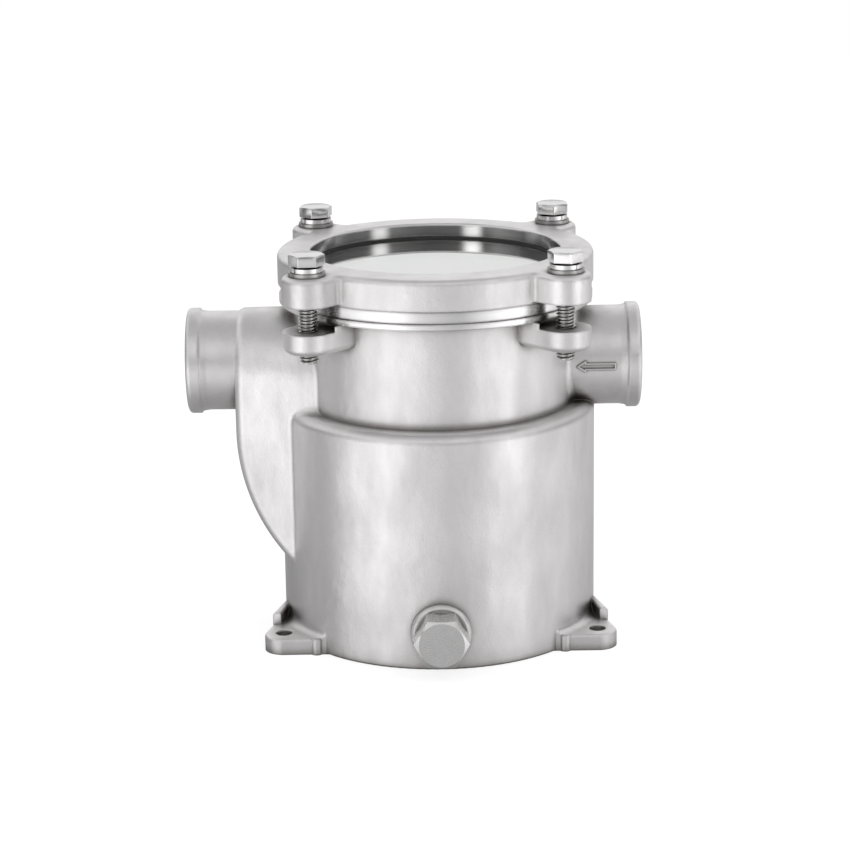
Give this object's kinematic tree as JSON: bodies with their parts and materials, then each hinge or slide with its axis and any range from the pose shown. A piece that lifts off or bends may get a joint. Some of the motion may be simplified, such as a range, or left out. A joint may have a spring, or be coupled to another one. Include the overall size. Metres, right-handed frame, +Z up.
{
  "type": "sea water strainer",
  "caption": "Cast stainless sea water strainer with in-line screwed ports, a side channel, a bolted cover with a sight disc, a lift-out basket and a drain plug.",
  "frame": {"origin": "centre of the underside of the body, on its base plane", "axes": "+Z up along the body's axis; the ports lie along X, inlet at +X, outlet at -X; the drain plug faces -Y"},
  "size_m": [0.1924, 0.1688, 0.1741],
  "materials": {
    "cast_steel": "sand-blasted investment casting, satin",
    "turned_steel": "turned bright",
    "screw_steel": "polished",
    "clear_disc": "clear, polished",
    "seal_rubber": "matte",
    "sheet_steel": "perforated sheet, satin",
    "washer_fibre": "matte"
  },
  "bodies": {
    "body": {"body_casting": "cast_steel", "flange_seal": "seal_rubber", "basket_shell": "sheet_steel", "basket_floor": "sheet_steel", "basket_rim": "sheet_steel", "basket_handle": "sheet_steel"},
    "cover": {"cover_ring": "cast_steel", "sight_disc": "clear_disc", "disc_gasket": "seal_rubber"},
    "plug": {"drain_plug": "screw_steel", "drain_plug_washer": "washer_fibre"},
    "screw_front_left": {"lid_screw_front_left": "screw_steel", "flat_washer_front_left": "screw_steel", "spring_washer_front_left": "screw_steel"},
    "screw_front_right": {"lid_screw_front_right": "screw_steel", "flat_washer_front_right": "screw_steel", "spring_washer_front_right": "screw_steel"},
    "screw_back_right": {"lid_screw_back_right": "screw_steel", "flat_washer_back_right": "screw_steel", "spring_washer_back_right": "screw_steel"},
    "screw_back_left": {"lid_screw_back_left": "screw_steel", "flat_washer_back_left": "screw_steel", "spring_washer_back_left": "screw_steel"}
  },
  "joints": [
    {"name": "cover_lift", "type": "slide", "parent": "body", "child": "cover", "axis": [0, 0, 1], "range_m": [0, 0.09]},
    {"name": "plug_out", "type": "slide", "parent": "body", "child": "plug", "axis": [0, -1, 0], "range_m": [0, 0.03]},
    {"name": "screw_out_front_left", "type": "slide", "parent": "cover", "child": "screw_front_left", "axis": [0, 0, 1], "range_m": [0, 0.045]},
    {"name": "screw_out_front_right", "type": "slide", "parent": "cover", "child": "screw_front_right", "axis": [0, 0, 1], "range_m": [0, 0.045]},
    {"name": "screw_out_back_right", "type": "slide", "parent": "cover", "child": "screw_back_right", "axis": [0, 0, 1], "range_m": [0, 0.045]},
    {"name": "screw_out_back_left", "type": "slide", "parent": "cover", "child": "screw_back_left", "axis": [0, 0, 1], "range_m": [0, 0.045]}
  ]
}
